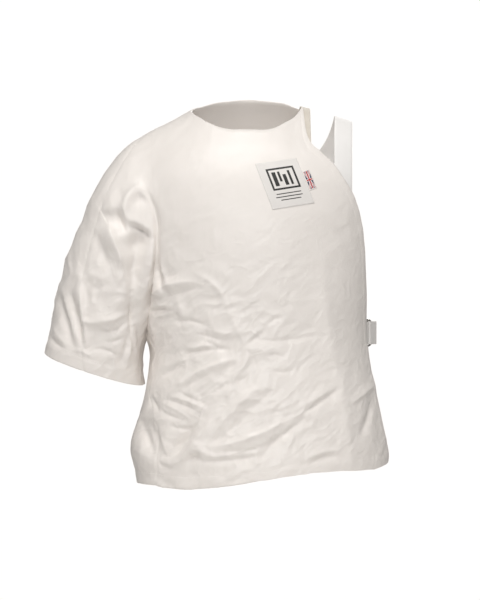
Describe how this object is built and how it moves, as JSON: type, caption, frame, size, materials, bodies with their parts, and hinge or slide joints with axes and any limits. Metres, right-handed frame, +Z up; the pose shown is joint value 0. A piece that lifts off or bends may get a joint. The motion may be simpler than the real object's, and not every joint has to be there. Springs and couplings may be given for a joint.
{
  "type": "fencing plastron",
  "caption": "Half jacket of heavy white cotton with one short sleeve, worn under a fencing jacket; the free edge is held by a shoulder strap and a waist strap through a ring.",
  "frame": {"origin": "middle of the neck, level with the top of the neckline at the sleeve side, where the wearer's neck and shoulders hold the garment up", "axes": "+Z up, -Y towards the garment's front, +X towards the wearer's left, which is the open side with the straps"},
  "size_m": [0.5529, 0.2423, 0.6258],
  "materials": {
    "cotton_front": "heavy off-white cotton, two layers quilted flat",
    "cotton_back": "heavy off-white cotton, two layers",
    "cotton_sleeve": "heavy off-white cotton, two layers",
    "cotton_undersleeve": "heavy off-white cotton, two layers",
    "cotton_tape": "herringbone cotton tape",
    "elastic": "white ribbed elastic",
    "webbing": "white woven webbing",
    "tab_webbing": "white woven webbing",
    "nickel_steel": "nickel-plated steel wire",
    "woven_label": "woven satin label",
    "woven_tab": "woven satin tab"
  },
  "bodies": {
    "root": {"front": "cotton_front", "back": "cotton_back", "sleeve_front": "cotton_sleeve", "sleeve_back": "cotton_undersleeve", "neck_tape": "cotton_tape", "shoulder_strap": "elastic", "waist_strap": "webbing", "ring_tab": "tab_webbing", "d_ring": "nickel_steel", "label": "woven_label", "edge_tab": "woven_tab"}
  },
  "joints": []
}
